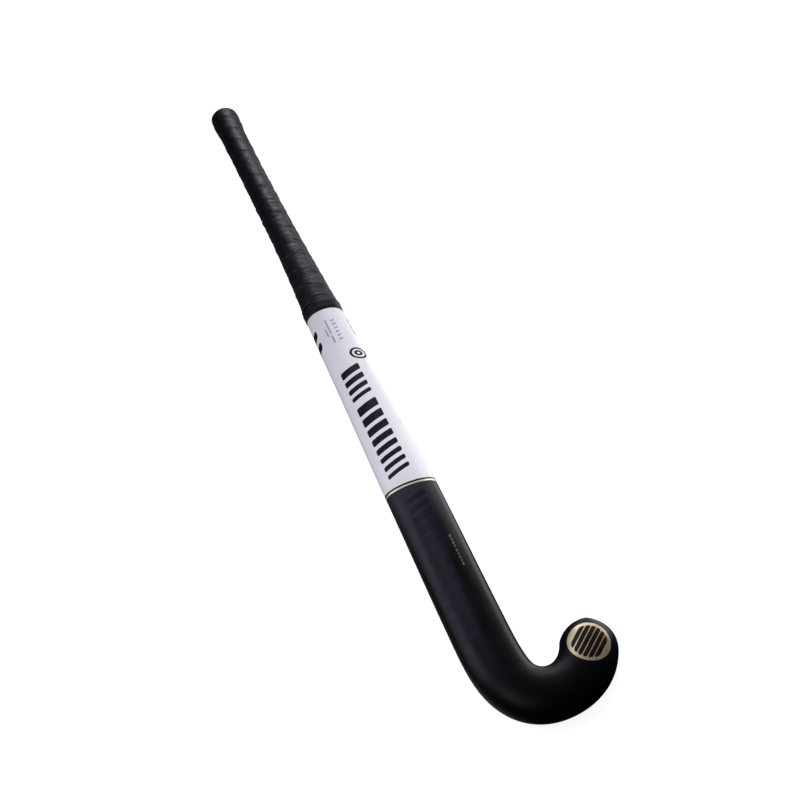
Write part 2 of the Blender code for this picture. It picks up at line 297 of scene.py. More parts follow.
def outline(angle, half_width, thickness, station):
    """Across and up at an angle round the section: 0 is the toe side, a quarter turn the top."""
    oval = np.clip((OVAL_END - station) / (OVAL_END - OVAL_START), 0.0, 1.0)
    widest = thickness * (WIDEST_AT + (0.5 - WIDEST_AT) * oval)
    corner = CORNER + (OVAL_CORNER * half_width - CORNER) * oval
    corner = np.minimum(corner, CORNER_LIMIT * half_width)
    angle = np.mod(angle, 2 * math.pi)
    on_back = angle <= math.pi
    below = np.where(on_back, 0.0, angle - math.pi)
    side = np.where(below < math.pi / 2, -1.0, 1.0)
    from_side = np.minimum(below, math.pi - below)
    corner_turn = math.pi / 2 * (corner + widest) / (half_width + widest)
    bend = np.minimum(from_side / corner_turn, 1.0) * math.pi / 2
    flat = np.clip((from_side - corner_turn) / (math.pi / 2 - corner_turn), 0.0, 1.0)
    under = side * ((half_width - corner * (1 - np.cos(bend))) - (half_width - corner) * flat)
    across = np.where(on_back, half_width * np.cos(angle), under)
    up = np.where(on_back, widest + (thickness - widest) * np.sin(angle), widest * (1 - np.sin(bend)))
    return across, up


def to_frame(x, y, z):
    """Metres in the frame, from millimetres measured from the heel and the middle of the shaft."""
    return np.stack([SHAFT_X + x * MM, HEEL_Y + y * MM, z * MM], axis=-1)


film_low, film_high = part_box("shaft_film")
SHAFT_X = (film_low.x + film_high.x) / 2
HEEL_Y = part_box("butt_cap")[1].y - LENGTH * MM


def skin(layer, station, angle, lift=0.0):
    """Points over a layer of the stick, raised by a lift along the section's normal."""
    station, angle = np.broadcast_arrays(np.asarray(station, float), np.asarray(angle, float))
    half_width, thickness = layer(station)
    across, up = outline(angle, half_width, thickness, station)
    ahead = outline(angle + NORMAL_STEP, half_width, thickness, station)
    behind = outline(angle - NORMAL_STEP, half_width, thickness, station)
    along_x, along_z = ahead[0] - behind[0], ahead[1] - behind[1]
    size = np.hypot(along_x, along_z) + 1e-9
    across = across + lift * along_z / size
    up = up - lift * along_x / size
    x, y, heading = place(station)
    base = middle_height(station) - thickness / 2
    return to_frame(x - np.sin(heading) * across, y + np.cos(heading) * across, base + up)


# ---------------------------------------------------------------- meshes


def finish_piece(obj, material, nodes, sharp=40.0):
    """Shade a piece, give it its material and let it stand for CAD nodes."""
    obj.data.materials.append(material)
    obj.data.shade_smooth()
    obj.data.set_sharp_from_angle(angle=math.radians(sharp))
    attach(obj, "root")
    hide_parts(*nodes)
    return obj


def mesh_object(name, points, faces):
    """An object from points and faces, with coincident points merged and its faces turned outwards."""
    mesh = bpy.data.meshes.new(name)
    mesh.from_pydata(points, [], faces)
    bm = bmesh.new()
    bm.from_mesh(mesh)
    bmesh.ops.remove_doubles(bm, verts=bm.verts, dist=MERGE_DISTANCE)
    bmesh.ops.recalc_face_normals(bm, faces=bm.faces)
    bm.to_mesh(mesh)
    bm.free()
    obj = bpy.data.objects.new(name, mesh)
    bpy.context.scene.collection.objects.link(obj)
    return obj


def quads(rows, columns, wrap_rows, wrap_columns, first=0):
    """Faces of a grid of points, optionally joined end to start either way."""
    index = np.arange(rows * columns).reshape(rows, columns) + first
    if wrap_rows:
        index = np.vstack([index, index[:1]])
    if wrap_columns:
        index = np.hstack([index, index[:, :1]])
    corners = (index[:-1, :-1], index[:-1, 1:], index[1:, 1:], index[1:, :-1])
    return np.stack(corners, axis=-1).reshape(-1, 4).tolist()


def loft(name, rings, wrap=False):
    """A body skinned over an array of rings, closed at its ends or wrapped into a sleeve."""
    rows, columns = rings.shape[:2]
    faces = quads(rows, columns, wrap, True)
    if not wrap:
        faces.append(list(range(columns)))
        faces.append(list(range((rows - 1) * columns, rows * columns)))
    return mesh_object(name, rings.reshape(-1, 3).tolist(), faces)


def round_angles(sides=ROUND_SIDES):
    """Even steps round a section, in radians."""
    return np.linspace(0.0, 2 * math.pi, sides, endpoint=False)


def rings_over(layer, stations, lift=0.0):
    """Rings of points round a layer of the stick at stations."""
    return skin(layer, np.asarray(stations)[:, None], round_angles()[None, :], lift)


def evenly(start, end, step):
    """Values from start to end, both included, in even steps close to a length."""
    return np.linspace(start, end, max(2, round(abs(end - start) / step) + 1))


def plates(name, grids):
    """Thin closed plates from pairs of top and bottom grids; a full ring gets no end walls."""
    points, faces = [], []
    for top, bottom in grids:
        rows, columns = top.shape[:2]
        first = len(points)
        count = rows * columns
        points += top.reshape(-1, 3).tolist() + bottom.reshape(-1, 3).tolist()
        upper = quads(rows, columns, False, False, first)
        faces += upper + [[corner + count for corner in face[::-1]] for face in upper]
        index = np.arange(count).reshape(rows, columns) + first
        sides = [index[0], index[:, -1], index[-1, ::-1], index[::-1, 0]]
        if np.allclose(top[:, 0], top[:, -1]):
            sides = sides[::2]
        for side in sides:
            for here, there in zip(side[:-1].tolist(), side[1:].tolist()):
                faces.append([there, here, here + count, there + count])
    return mesh_object(name, points, faces)


# ---------------------------------------------------------------- flat print shapes, in mm


def bar(length, width, radius, at=(0.0, 0.0), slant=0.0):
    """Round-cornered bar as a grid of (along, across); slant leans it along the stick."""
    straight = length / 2 - radius
    rounding = radius * (1 - np.cos(np.linspace(0.0, math.pi / 2, 5)))
    rows = np.concatenate([-length / 2 + rounding, evenly(-straight, straight, step=1.0)[1:-1]])
    rows = np.unique(np.round(np.concatenate([rows, -rows]), 5))
    past = np.clip(np.abs(rows) - straight, 0.0, radius)
    half = width / 2 - radius + np.sqrt(np.maximum(radius**2 - past**2, 0.0))
    columns = evenly(-1.0, 1.0, step=2.0 / max(4, round(width)))
    across = half[:, None] * columns[None, :]
    along = rows[:, None] + slant * across
    return np.stack([along + at[0], across + at[1]], axis=-1)


def ring(inner, outer):
    """Flat ring as a grid of (along, across) that closes on itself."""
    radii = evenly(inner, outer, step=0.8)
    turns = np.radians(evenly(0.0, 360.0, step=4.0))
    along = radii[:, None] * np.cos(turns)[None, :]
    across = radii[:, None] * np.sin(turns)[None, :]
    return np.stack([along, across], axis=-1)


def disc(radius):
    """Flat disc as a square grid of (along, across) bowed out to a circle."""
    side = np.linspace(-1.0, 1.0, 2 * round(radius) + 3)
    u, v = np.meshgrid(side, side, indexing="ij")
    return radius * np.stack([u * np.sqrt(1 - v**2 / 2), v * np.sqrt(1 - u**2 / 2)], axis=-1)


def stripe(offset):
    """Bar across a disc with its ends rounded off inside the reach of the stripes."""
    half_width = STRIPE_WIDTH / 2
    rows = np.linspace(offset - half_width, offset + half_width, 7)
    rounding = half_width - np.sqrt(np.maximum(half_width**2 - (rows - offset) ** 2, 0.0))
    half = np.sqrt(STRIPE_REACH**2 - rows**2) - 0.6 * rounding
    columns = evenly(-1.0, 1.0, step=1.0 / STRIPE_REACH)
    across = half[:, None] * columns[None, :]
    return np.stack([np.broadcast_to(rows[:, None], across.shape), across], axis=-1)


def slanted_bars(widths, gap, height, slant, radius, drift=0.0):
    """A row of leaning bars; drift shifts them across the stick along the row."""
    total = sum(widths) + gap * (len(widths) - 1)
    at, shapes = -total / 2, []
    for width in widths:
        middle = at + width / 2
        if width:
            shapes.append(bar(width, height, radius, (middle, drift * middle), slant))
        at += width + gap
    return shapes


def turned(shapes, degrees, oval=(1.0, 1.0)):
    """Flat shapes turned about their origin and then stretched along and across the stick."""
    cos, sin = math.cos(math.radians(degrees)), math.sin(math.radians(degrees))
    return [shape @ np.array([[cos, sin], [-sin, cos]]) * oval for shape in shapes]


def wrap_on(name, middle, shapes):
    """Wrap flat shapes round the back, from a middle given as a station and degrees."""
    station, degrees = middle
    angles = np.radians(WRAP_DEGREES)
    section = skin(laminate, np.full(angles.shape, station), angles)
    steps = np.linalg.norm(np.diff(section, axis=0), axis=1)
    length = np.concatenate([[0.0], np.cumsum(steps)]) / MM
    offset = np.interp(math.radians(degrees), angles, length)
    grids = []
    for shape in shapes:
        at = station + shape[..., 0]
        angle = np.interp(offset + shape[..., 1], length, angles)
        top = skin(laminate, at, angle, PRINT_LIFT)
        grids.append((top, skin(laminate, at, angle, -PRINT_SINK)))
    return plates(name, grids)


def press_on(name, body, centre, normal, shapes, lift):
    """Press flat shapes straight onto a body, so that they keep their outline seen from the normal."""
    tree = BVHTree.FromObject(body, bpy.context.evaluated_depsgraph_get())
    normal = Vector(normal).normalized()
    across = Vector((0.0, 1.0, 0.0)).cross(normal).normalized()
    along = normal.cross(across)
    grids = []
    for shape in shapes:
        flat = shape * MM
        top = np.empty((*flat.shape[:2], 3))
        bottom = np.empty_like(top)
        for i, j in np.ndindex(flat.shape[:2]):
            start = centre + normal * PRESS_FROM + along * flat[i, j, 0] + across * flat[i, j, 1]
            point, facing = tree.ray_cast(start, -normal)[:2]
            top[i, j] = point + facing * lift * MM
            bottom[i, j] = point - facing * PRINT_SINK * MM
        grids.append((top, bottom))
    return plates(name, grids)


# ---------------------------------------------------------------- materials


class Surface:
    """A Principled material whose colour, roughness and bump come from noise textures."""

    def __init__(self, name, colour, roughness, metallic=0.0, **constants):
        self.material = bpy.data.materials.new(name)
        self.material.use_nodes = True
        self.tree = self.material.node_tree
        self.shader = self.tree.nodes["Principled BSDF"]
        self.shader.inputs["Base Color"].default_value = (*colour, 1.0)
        self.shader.inputs["Roughness"].default_value = roughness
        self.shader.inputs["Metallic"].default_value = metallic
        for socket, value in constants.items():
            self.shader.inputs[socket.replace("_", " ")].default_value = value
        self.place = self.tree.nodes.new("ShaderNodeTexCoord").outputs["Object"]
        self.height = None

    def texture(self, kind, scale, stretch):
        """A texture node over the piece's own coordinates, in metres."""
        mapping = self.tree.nodes.new("ShaderNodeMapping")
        mapping.inputs["Scale"].default_value = stretch
        self.tree.links.new(self.place, mapping.inputs["Vector"])
        texture = self.tree.nodes.new(kind)
        texture.inputs["Scale"].default_value = scale
        self.tree.links.new(mapping.outputs["Vector"], texture.inputs["Vector"])
        return texture

    def noise(self, scale, detail=3.0, stretch=(1.0, 1.0, 1.0), roughness=0.5):
        """Cloudy noise between 0 and 1."""
        texture = self.texture("ShaderNodeTexNoise", scale, stretch)
        texture.inputs["Detail"].default_value = detail
        texture.inputs["Roughness"].default_value = roughness
        return texture.outputs["Fac"]

    def cells(self, scale, stretch=(1.0, 1.0, 1.0)):
        """Distance to the nearest of many scattered points."""
        return self.texture("ShaderNodeTexVoronoi", scale, stretch).outputs["Distance"]

    def fade_towards_butt(self, start, length):
        """A value from 0 to 1 over a length of the stick in metres, with a little mottle."""
        split = self.tree.nodes.new("ShaderNodeSeparateXYZ")
        self.tree.links.new(self.place, split.inputs[0])
        ramp = self.mapped(split.outputs["Y"], 0.0, 1.0, start, start + length)
        mottle = self.mapped(self.noise(160.0, 3.0), -0.05, 0.05)
        total = self.tree.nodes.new("ShaderNodeMath")
        total.operation = "ADD"
        self.tree.links.new(ramp, total.inputs[0])
        self.tree.links.new(mottle, total.inputs[1])
        return total.outputs[0]

    def mapped(self, value, low, high, start=0.3, end=0.7):
        """A value's range, from start to end, stretched from low to high."""
        node = self.tree.nodes.new("ShaderNodeMapRange")
        node.inputs["From Min"].default_value = start
        node.inputs["From Max"].default_value = end
        node.inputs["To Min"].default_value = low
        node.inputs["To Max"].default_value = high
        self.tree.links.new(value, node.inputs["Value"])
        return node.outputs["Result"]

    def colours(self, value, *stops):
        """Base colour from a ramp of (position, colour) stops."""
        ramp = self.tree.nodes.new("ShaderNodeValToRGB")
        elements = ramp.color_ramp.elements
        for element, (position, colour) in zip(elements, (stops[0], stops[-1])):
            element.position = position
            element.color = (*colour, 1.0)
        for position, colour in stops[1:-1]:
            elements.new(position).color = (*colour, 1.0)
        self.tree.links.new(value, ramp.inputs["Fac"])
        self.tree.links.new(ramp.outputs["Color"], self.shader.inputs["Base Color"])
        return self

    def rough(self, value, low, high):
        """Roughness that follows a texture between two limits."""
        self.tree.links.new(self.mapped(value, low, high), self.shader.inputs["Roughness"])
        return self

    def bump(self, value, depth_mm):
        """Add a bump of a depth in millimetres over the ones already there."""
        node = self.tree.nodes.new("ShaderNodeBump")
        node.inputs["Strength"].default_value = 1.0
        node.inputs["Distance"].default_value = depth_mm * MM
        self.tree.links.new(value, node.inputs["Height"])
        if self.height is not None:
            self.tree.links.new(self.height, node.inputs["Normal"])
        self.height = node.outputs["Normal"]
        self.tree.links.new(self.height, self.shader.inputs["Normal"])
        return self


def shades(colour, spread):
    """A darker and a lighter version of a colour."""
    return tuple(c * (1 - spread) for c in colour), tuple(c * (1 + spread) for c in colour)


def lacquered_laminate():
    """Satin black lacquer with painted sheen: a little bluer and lighter over the last stretch before the
    gold ring, standing in for the highlight there.
    """
    surface = Surface(
        "satin_black_laminate", (0.004, 0.0036, 0.0055), roughness=0.34, Specular_IOR_Level=0.135
    )
    # The lighter, bluer stops towards the gold ring are painted sheen that stands in for the highlight on
    # the shaft near the ring
    start = HEEL_Y + (LENGTH - RING_STATION - PAINTED_SHEEN_LENGTH) * MM
    surface.colours(
        surface.fade_towards_butt(start, PAINTED_SHEEN_LENGTH * MM),
        (0.0, (0.0026, 0.0023, 0.0036)),
        (0.5, (0.0085, 0.0078, 0.012)),
        (1.0, (0.026, 0.0245, 0.035)),
    )
    surface.rough(surface.noise(38.0, 4.0), 0.31, 0.38)
    surface.bump(surface.noise(420.0, 2.0), 0.010)
    return surface.bump(surface.noise(2600.0, 1.0), 0.0025).material


def white_lacquer():
    """Cool white lacquer that turns cream over the last stretch before the gold ring."""
    surface = Surface("white_lacquered_film", (0.935, 0.94, 0.935), roughness=0.30)
    surface.colours(
        surface.fade_towards_butt(HEEL_Y + (LENGTH - RING_STATION) * MM, CREAM_LENGTH * MM),
        (0.0, (0.93, 0.90, 0.76)),
        (0.35, (0.93, 0.925, 0.87)),
        (1.0, (0.935, 0.94, 0.935)),
    )
    surface.rough(surface.noise(45.0, 4.0), 0.27, 0.35)
    return surface.bump(surface.noise(380.0, 2.0), 0.006).material


def grip_polyurethane():
    """Tacky black tape with fine pores and soft creases across the winding."""
    surface = Surface("black_grip_tape", (0.006, 0.0056, 0.0075), roughness=0.44, Specular_IOR_Level=0.37)
    mottle = surface.noise(90.0, 5.0)
    surface.colours(mottle, (0.3, (0.0044, 0.0041, 0.0056)), (0.7, (0.0078, 0.0073, 0.01)))
    surface.rough(surface.noise(140.0, 4.0), 0.37, 0.51)
    surface.bump(surface.cells(900.0, (1.0, 0.8, 1.0)), 0.03)
    surface.bump(surface.noise(1500.0, 3.0), 0.02)
    return surface.bump(surface.noise(105.0, 4.0, stretch=(1.0, 3.0, 1.0), roughness=0.6), 0.16).material


def binding_tape():
    """Smoother black tape with creases that run round it."""
    surface = Surface(
        "black_finishing_tape", (0.005, 0.005, 0.006), roughness=0.44, Specular_IOR_Level=0.24
    )
    surface.colours(surface.noise(110.0, 4.0), (0.3, (0.003, 0.003, 0.004)), (0.7, (0.007, 0.007, 0.009)))
    surface.rough(surface.noise(90.0, 3.0), 0.38, 0.5)
    return surface.bump(surface.noise(160.0, 3.0, stretch=(1.0, 5.0, 1.0)), 0.16).material


def moulded_rubber():
    """Matt black rubber with a fine grain."""
    surface = Surface("moulded_rubber", (0.016, 0.016, 0.017), roughness=0.7)
    mottle = surface.noise(160.0, 4.0)
    surface.colours(mottle, (0.3, (0.012, 0.012, 0.013)), (0.7, (0.02, 0.02, 0.022)))
    surface.rough(surface.noise(200.0, 3.0), 0.62, 0.78)
    return surface.bump(surface.noise(1400.0, 2.0), 0.02).material


def gold_foil(name, shade):
    """Pale gold foil under lacquer, partly metallic."""
    surface = Surface(name, shade, roughness=0.34, metallic=0.55, Coat_Weight=0.3, Coat_Roughness=0.15)
    dark, light = shades(shade, 0.08)
    surface.colours(surface.noise(120.0, 4.0), (0.3, dark), (0.7, light))
    surface.rough(surface.noise(500.0, 3.0), 0.30, 0.42)
    return surface.bump(surface.noise(900.0, 2.0), 0.004).material


def ink(name, colour, roughness, gloss):
    """Print under lacquer, with the slight mottle of screen printing."""
    surface = Surface(name, colour, roughness, Specular_IOR_Level=gloss)
    dark, light = shades(colour, 0.15)
    surface.colours(surface.noise(260.0, 4.0), (0.3, dark), (0.7, light))
    surface.rough(surface.noise(180.0, 3.0), roughness - 0.04, roughness + 0.06)
    return surface.bump(surface.noise(1200.0, 2.0), 0.003).material


def porous(name, colour, cell_scale, depth_mm):
    """Matt foam with small cells."""
    surface = Surface(name, colour, roughness=0.9)
    dark, light = shades(colour, 0.2)
    surface.colours(surface.cells(cell_scale), (0.1, dark), (0.6, light))
    surface.rough(surface.noise(300.0), 0.82, 0.96)
    return surface.bump(surface.cells(cell_scale * 1.3), depth_mm).material


def woven_tube():
    """Bare braided carbon and glass."""
    surface = Surface("braided_carbon_tube", (0.03, 0.03, 0.032), roughness=0.42)
    braid = surface.cells(420.0, (1.0, 0.5, 1.0))
    surface.colours(braid, (0.2, (0.02, 0.02, 0.022)), (0.6, (0.05, 0.05, 0.054)))
    surface.rough(surface.noise(200.0), 0.35, 0.5)
    return surface.bump(braid, 0.08).material


def studio_floor():
    """Pale floor that glows a little, so that it looks as white as the backdrop."""
    surface = Surface("pale_floor", (0.6, 0.6, 0.6), roughness=0.85)
    mottle = surface.noise(1.2, 2.0)
    surface.colours(mottle, (0.3, (0.59, 0.59, 0.59)), (0.7, (0.61, 0.61, 0.61)))
    surface.shader.inputs["Emission Color"].default_value = (1.0, 1.0, 1.0, 1.0)
    surface.shader.inputs["Emission Strength"].default_value = FLOOR_GLOW
    return surface.rough(surface.noise(3.0), 0.8, 0.9).material


# ---------------------------------------------------------------- pieces


def make_laminate(material):
    """The moulded body, toe to butt, with the rebate that film and grip fill.

    Its rings run up the inside from the toe, round the mouth and down the outside to the toe. They
    stand closest where the outside bends most; the toe is rounded through almost a quarter turn.
    """
    inner_toe = np.sin(np.linspace(1.4, 0.0, 8))
    outer_toe = np.sin(np.linspace(0.0, 1.5, 26))
    inside = np.concatenate([
        TOE_START + (TOE_RADIUS - RECESS - WALL) * inner_toe,
        evenly(TOE_START, SHAFT_LENGTH, step=6.0)[1:],
        evenly(SHAFT_LENGTH, BUTT_ROUNDING, step=24.0)[1:],
    ])
    rebate = evenly(BUTT_ROUNDING, REBATE_END, step=8.0)
    bare = np.concatenate([
        evenly(BARE_START, SHAFT_LENGTH, step=4.0),
        evenly(SHAFT_LENGTH, TOE_START, step=1.6)[1:],
        TOE_START + TOE_RADIUS * outer_toe[1:],
    ])
    layers = ((cavity, inside), (recessed, rebate), (laminate, bare))
    rings = np.concatenate([rings_over(layer, stations) for layer, stations in layers])
    return finish_piece(loft("moulded_body", rings), material, ["laminate_shell"])


def make_sleeve(name, stations, layer, depth, material, node, slot):
    """A thin band round the shaft between a layer and a depth below it."""
    outer = rings_over(layer, stations)
    inner = rings_over(layer, stations[::-1], -depth)
    return finish_piece(loft(name, np.concatenate([outer, inner]), wrap=True), material, [node])


def crease(station, angle, length, around, seed):
    """Smooth noise over the grip; length is its size in mm, around its changes per radian."""
    station, angle = np.broadcast_arrays(station, angle)
    values = np.empty(station.size)
    for i, (s, a) in enumerate(zip(station.ravel().tolist(), angle.ravel().tolist())):
        values[i] = noise.noise((s / length, math.cos(a) * around + seed, math.sin(a) * around))
    return values.reshape(station.shape)


def folds(station, angle, length, around, seed, width=0.16):
    """Thin sharp folds, 0 to 1, along the zero lines of a crease noise."""
    distance = np.abs(crease(station, angle, length, around, seed))
    return np.clip(1.0 - distance / width, 0.0, 1.0) ** 1.5


def make_grip_tape(material):
    """The tape as one closed strip wound down the grip and cut off square at both ends."""
    width = TAPE_PITCH + TAPE_OVERLAP
    turns = (TAPE_LAST - TAPE_END + width) / TAPE_PITCH + 0.6
    sweep = np.linspace(0.0, 2 * math.pi * turns, round(turns * TURN_STEPS))[:, None]
    edge = TAPE_PHASE - TAPE_PITCH + TAPE_PITCH * sweep / (2 * math.pi)
    inside = ((edge + width > TAPE_END + 0.5) & (edge < TAPE_LAST - 0.5))[:, 0]
    angle, edge = -sweep[inside], edge[inside]
    rolled = (0.0, 0.12, 0.4, 0.9, 1.7, 2.6)
    flat = evenly(3.4, TAPE_PITCH - 0.4, step=0.75)
    columns = np.concatenate([rolled, flat, (TAPE_PITCH, width - 1.0, width)])
    station = np.clip(edge + columns[None, :], TAPE_END, TAPE_LAST)
    across = station - edge
    lap = LAP_HEIGHT * np.exp(-np.maximum(across - LAP_START, 0.0) / LAP_LENGTH)
    lap -= DIP_DEPTH * np.exp(-((across / DIP_LENGTH) ** 1.5))
    tail = -TAIL_DEPTH * np.clip((across - TAPE_PITCH + TAIL_LENGTH) / TAIL_LENGTH, 0.0, 1.0) ** 2
    waves = 0.52 * crease(station, angle, length=6.6, around=0.8, seed=3.0)
    waves += 0.12 * crease(station, angle, length=2.8, around=1.2, seed=17.0)
    ripples = 0.22 * folds(station, angle, length=6.5, around=0.9, seed=11.0)
    ripples -= 0.16 * folds(station, angle, length=4.1, around=1.3, seed=29.0)
    lift = lap + tail + waves + ripples
    lift[:, -2:] = -BURIED_EDGE
    top = skin(envelope, station, angle, lift)
    below = evenly(0.0, width, step=4.0)
    under = np.where(below < TAPE_OVERLAP + 1.0, -UNDERSIDE_AT_LAP, -UNDERSIDE)[None, :]
    bottom = skin(envelope, np.clip(edge + below[None, :], TAPE_END, TAPE_LAST), angle, under)
    rings = np.concatenate([top, bottom[:, ::-1]], axis=1)
    return finish_piece(loft("wound_grip_tape", rings), material, ["grip_tape"], sharp=50.0)


def make_binding(material):
    """Finishing tape round the lower edge of the grip, creased round it and rolled in at its edges."""
    start, end = GRIP_LENGTH - BINDING_WIDTH, GRIP_LENGTH - EDGE_GAP
    stations = evenly(start, end, step=0.3)[:, None]
    angles = round_angles(200)[None, :]
    share = (stations - start) / (end - start)
    waves = 0.5 * crease(stations, angles, length=5.5, around=0.7, seed=5.0)
    waves += 0.3 * crease(stations, angles, length=2.4, around=0.9, seed=21.0)
    ripples = 0.26 * folds(stations, angles, length=3.6, around=0.6, seed=37.0, width=0.1)
    rolled = -ROLL_DEPTH * np.clip((share - ROLL_START) / (1 - ROLL_START), 0.0, 1.0) ** 2
    rolled -= UPPER_ROLL_DEPTH * (1 - share) ** 8
    lift = BINDING_HEIGHT + (waves + ripples) * np.clip(share * 4.0, 0.2, 1.0) + rolled
    ragged = RAGGED_DEPTH * crease(4.0, angles, length=1.0, around=1.1, seed=8.0)
    reach = np.minimum(stations, end - 0.35 + ragged)
    outer = skin(envelope, reach, angles, lift)
    inner = skin(envelope, reach, angles, np.minimum(lift - 0.3, -0.2))
    rings = np.concatenate([outer, inner[::-1]])
    return finish_piece(loft("finishing_tape", rings, wrap=True), material, ["grip_end_tape"])


def make_butt_cap(material):
    """Rubber dome that closes the butt inside the last turn of tape, with a shallow moulded ring."""
    skirt = evenly(CAP_LENGTH, TAPE_END - 0.3, step=1.5)
    dome = DOME_LENGTH * (1 - np.sin(np.linspace(0.0, math.pi / 2, 30)))
    groove = -GROOVE_DEPTH * np.exp(-(((dome - GROOVE_STATION) / GROOVE_WIDTH) ** 2))
    pocket = np.array([BUTT_ROUNDING - 0.3, CAP_LENGTH - 0.1])
    rings = np.concatenate([
        rings_over(recessed, pocket, 0.3),
        rings_over(envelope, skirt, -UNDERSIDE),
        rings_over(envelope, dome, groove[:, None]),
    ])
    return finish_piece(loft("butt_cap_rubber", rings), material, ["butt_cap"])


def make_shaft_prints(black, grey, navy, gold):
    """Abstract prints in the places of the stick's graphics; none of them is lettering."""
    shapes = slanted_bars(UPPER_BARS, gap=4.6, height=23.0, slant=0.32, radius=1.4)
    piece = wrap_on("slanted_bars", UPPER_BARS_AT, shapes)
    finish_piece(piece, black, ["bar_transfer"])

    shapes = turned([ring(6.1, 8.4), ring(1.6, 4.0)], 0.0, oval=(1.0, 1.15))
    piece = wrap_on("double_ring", DOUBLE_RING_AT, shapes)
    finish_piece(piece, black, ["small_roundel"])

    middles = [(-14.0 + 5.8 * i, -4.6) for i in range(6)]
    shapes = [bar(length=2.8, width=4.4, radius=0.8, at=middle, slant=0.3) for middle in middles]
    lines = ((21.0, 1.9, (-6.5, 2.8)), (11.0, 1.9, (12.5, 2.8)), (12.0, 1.6, (1.0, 6.4)))
    shapes += [bar(length, width, 0.6, middle) for length, width, middle in lines]
    piece = wrap_on("label_lines", LABEL_AT, shapes)
    finish_piece(piece, grey, ["label_transfer"])

    middles = ((-8.6, 1.0), (8.6, 1.0))
    shapes = [bar(length=10.0, width=11.0, radius=3.0, at=middle, slant=0.5) for middle in middles]
    piece = wrap_on("edge_blocks", EDGE_BLOCKS_AT, shapes)
    finish_piece(piece, black, ["side_mark"])

    shapes = slanted_bars(LOWER_BARS, gap=4.4, height=20.0, slant=0.3, radius=1.4, drift=0.085)
    piece = wrap_on("dark_bars", LOWER_BARS_AT, shapes)
    finish_piece(piece, navy, ["lower_transfer"])

    dashes = ((8.0, -9.6), (7.0, 0.0), (8.0, 9.6))
    shapes = [bar(length, 3.0, 0.9, (along, 0.0), slant=0.2) for length, along in dashes]
    piece = wrap_on("side_dashes", SIDE_DASHES_AT, shapes)
    finish_piece(piece, gold, [])

    shapes = slanted_bars(GOLD_DASHES, gap=1.0, height=1.9, slant=0.2, radius=0.5)
    piece = wrap_on("gold_dashes", GOLD_DASHES_AT, shapes)
    finish_piece(piece, gold, ["dash_transfer"])


def make_toe_disc(body, gold, dark):
    """Gold disc on the toe, with parallel dark stripes over it."""
    station = PATH_LENGTH - DISC_BEFORE_TOE
    centre = Vector(skin(laminate, station, math.radians(DISC_DEGREES)))
    shapes = turned([disc(DISC_RADIUS)], 0.0, DISC_OVAL)
    piece = press_on("toe_disc", body, centre, DISC_FACING, shapes, PRINT_LIFT)
    finish_piece(piece, gold, ["toe_roundel"])
    shapes = turned([stripe(offset) for offset in STRIPE_OFFSETS], STRIPE_TURN, DISC_OVAL)
    piece = press_on("toe_disc_stripes", body, centre, DISC_FACING, shapes, 2 * PRINT_LIFT)
    finish_piece(piece, dark, [])


def make_film(white, gold, dark):
    """White film, and at its lower end a dark line and a gold ring."""
    gold_end = RING_STATION - RING_GAP
    gold_start = gold_end - GOLD_WIDTH
    dark_start = gold_start - DARK_WIDTH
    bands = (
        ("white_film", GRIP_LENGTH + EDGE_GAP, dark_start, 3.0, white, "shaft_film", "white_film"),
        ("dark_ring", dark_start, gold_start, 1.0, dark, "shaft_film", "black_print"),
        ("gold_ring", gold_start, gold_end, 0.7, gold, "gold_pinstripe", "gold_foil"),
    )
    for name, start, end, step, *looks in bands:
        make_sleeve(name, evenly(start, end, step), laminate, FILM, *looks)


def finish_inner_nodes():
    """The pieces inside keep their CAD shapes and take finished materials."""
    foam = porous("cast_foam", (0.60, 0.52, 0.33), 1500.0, 0.1)
    cushion = porous("cushion_foam", (0.05, 0.05, 0.055), 2200.0, 0.06)
    braid = woven_tube()
    looks = {
        "head_core": foam,
        "butt_plug": foam,
        "grip_cushion": cushion,
        "core_tube_toe_side": braid,
        "core_tube_heel_side": braid,
    }
    for name, material in looks.items():
        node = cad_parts[name]
        node.data.materials.clear()
        node.data.materials.append(material)


# ---------------------------------------------------------------- studio

FLOOR_GLOW = 0.9
LOBE_TIGHTNESS = 8.0

# Azimuth, elevation, strength and colour of each soft glow of the studio's walls
LOBES = (
    (140.0, 5.0, 0.43, (0.95, 0.91, 1.14)),
    (280.0, -35.0, 1.15, (1.01, 0.98, 1.01)),
)


def make_floor():
    """Wide pale floor; it takes soft shadows, and the stick neither mirrors it nor is lit by it."""
    bpy.ops.mesh.primitive_plane_add(size=30.0, location=(0.0, 0.0, -0.0005))
    floor = bpy.context.object
    floor.name = "studio_floor"
    floor.data.materials.append(studio_floor())
    floor.visible_glossy = False
    floor.visible_diffuse = False
    floor.visible_shadow = False


def direction(azimuth, elevation):
    """Unit vector from the stick towards a camera or light; azimuth 0 is -Y, 90 is +X."""
    a, e = math.radians(azimuth), math.radians(elevation)
    return Vector((math.sin(a) * math.cos(e), -math.cos(a) * math.cos(e), math.sin(e)))


def softbox(name, azimuth, elevation, distance, size, aim, power, colour):
    """Rectangular area light that faces its aim."""
    lamp = bpy.data.lights.new(name, "AREA")
    lamp.shape = "RECTANGLE"
    lamp.size, lamp.size_y = size
    lamp.energy = power
    lamp.color = colour
    obj = bpy.data.objects.new(name, lamp)
    bpy.context.scene.collection.objects.link(obj)
    towards = direction(azimuth, elevation)
    obj.location = Vector(aim) + towards * distance
    obj.rotation_euler = towards.to_track_quat("Z", "Y").to_euler()


